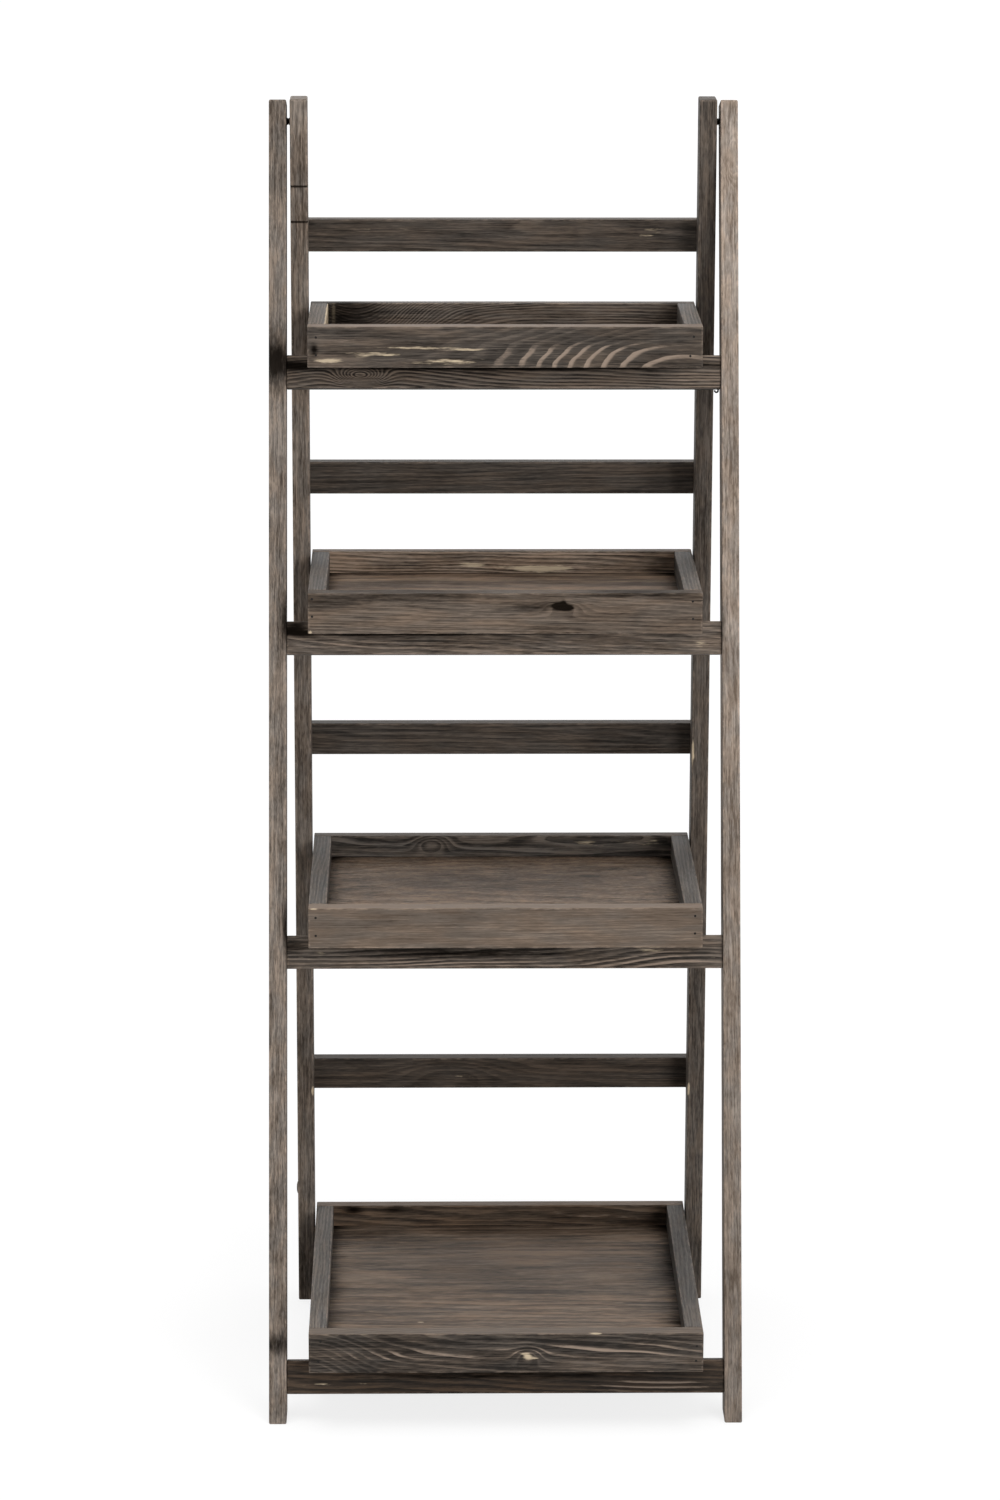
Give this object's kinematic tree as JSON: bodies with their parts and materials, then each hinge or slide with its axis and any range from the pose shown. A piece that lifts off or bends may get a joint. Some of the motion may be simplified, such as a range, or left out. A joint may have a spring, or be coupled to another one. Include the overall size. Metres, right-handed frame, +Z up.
{
  "type": "plant ladder stand",
  "caption": "Folding wooden ladder plant stand: a leaning front frame bolted to an upright rear frame, with hinged shallow trays that rest on the front rungs.",
  "frame": {"origin": "on the floor, centred under the whole stand", "axes": "+X to the stand's right seen from the front, +Y to the back, +Z up"},
  "size_m": [0.54, 0.4772, 1.4625],
  "materials": {
    "front_leg_wood": "pale grey-brown stain, weathered, satin",
    "rear_leg_wood": "dark grey-brown stain, weathered, satin",
    "rung_wood": "dark grey-brown stain, weathered, satin",
    "rail_wood": "dark brown-black stain, satin",
    "board_wood": "grey-brown stained pine with nailed corners, satin",
    "floor_plywood": "brown stained plywood, satin",
    "dowel_wood": "plain tan hardwood",
    "black_steel": "blackened steel, satin"
  },
  "bodies": {
    "rear_frame": {"rear_leg_left": "rear_leg_wood", "rear_leg_right": "rear_leg_wood", "rear_rail_1": "rail_wood", "rear_rail_2": "rail_wood", "rear_rail_3": "rail_wood", "rear_rail_4": "rail_wood", "rail_1_screw_left": "black_steel", "rail_1_screw_right": "black_steel", "rail_2_screw_left": "black_steel", "rail_2_screw_right": "black_steel", "rail_3_screw_left": "black_steel", "rail_3_screw_right": "black_steel", "rail_4_screw_left": "black_steel", "rail_4_screw_right": "black_steel", "pivot_bolt_left": "black_steel", "pivot_nut_left": "black_steel", "rear_cup_washer_left": "black_steel", "pivot_bolt_right": "black_steel", "pivot_nut_right": "black_steel", "rear_cup_washer_right": "black_steel"},
    "front_frame": {"front_leg_left": "front_leg_wood", "front_leg_right": "front_leg_wood", "front_rung_1": "rung_wood", "front_rung_2": "rung_wood", "front_rung_3": "rung_wood", "front_rung_4": "rung_wood", "front_cup_washer_left": "black_steel", "front_cup_washer_right": "black_steel", "catch_hook": "black_steel"},
    "tray_1": {"tray_1_front_board": "board_wood", "tray_1_rear_board": "board_wood", "tray_1_side_board_left": "board_wood", "tray_1_side_board_right": "board_wood", "tray_1_dowel_left": "dowel_wood", "tray_1_dowel_right": "dowel_wood", "tray_1_floor": "floor_plywood"},
    "tray_2": {"tray_2_front_board": "board_wood", "tray_2_rear_board": "board_wood", "tray_2_side_board_left": "board_wood", "tray_2_side_board_right": "board_wood", "tray_2_dowel_left": "dowel_wood", "tray_2_dowel_right": "dowel_wood", "tray_2_floor": "floor_plywood"},
    "tray_3": {"tray_3_front_board": "board_wood", "tray_3_rear_board": "board_wood", "tray_3_side_board_left": "board_wood", "tray_3_side_board_right": "board_wood", "tray_3_dowel_left": "dowel_wood", "tray_3_dowel_right": "dowel_wood", "tray_3_floor": "floor_plywood"},
    "tray_4": {"tray_4_front_board": "board_wood", "tray_4_rear_board": "board_wood", "tray_4_side_board_left": "board_wood", "tray_4_side_board_right": "board_wood", "tray_4_dowel_left": "dowel_wood", "tray_4_dowel_right": "dowel_wood", "tray_4_floor": "floor_plywood"}
  },
  "joints": [
    {"name": "frame_fold", "type": "hinge", "parent": "rear_frame", "child": "front_frame", "pos_m": [0, 0.19935, 1.435], "axis": [1, 0, 0], "range_deg": [0, 9]},
    {"name": "tray_1_hinge", "type": "hinge", "parent": "rear_frame", "child": "tray_1", "pos_m": [0, 0.18935, 1.1955], "axis": [-1, 0, 0], "range_deg": [0, 90]},
    {"name": "tray_2_hinge", "type": "hinge", "parent": "rear_frame", "child": "tray_2", "pos_m": [0, 0.18935, 0.9005], "axis": [-1, 0, 0], "range_deg": [0, 90]},
    {"name": "tray_3_hinge", "type": "hinge", "parent": "rear_frame", "child": "tray_3", "pos_m": [0, 0.18935, 0.5535], "axis": [-1, 0, 0], "range_deg": [0, 90]},
    {"name": "tray_4_hinge", "type": "hinge", "parent": "rear_frame", "child": "tray_4", "pos_m": [0, 0.18935, 0.0865], "axis": [-1, 0, 0], "range_deg": [0, 90]}
  ]
}
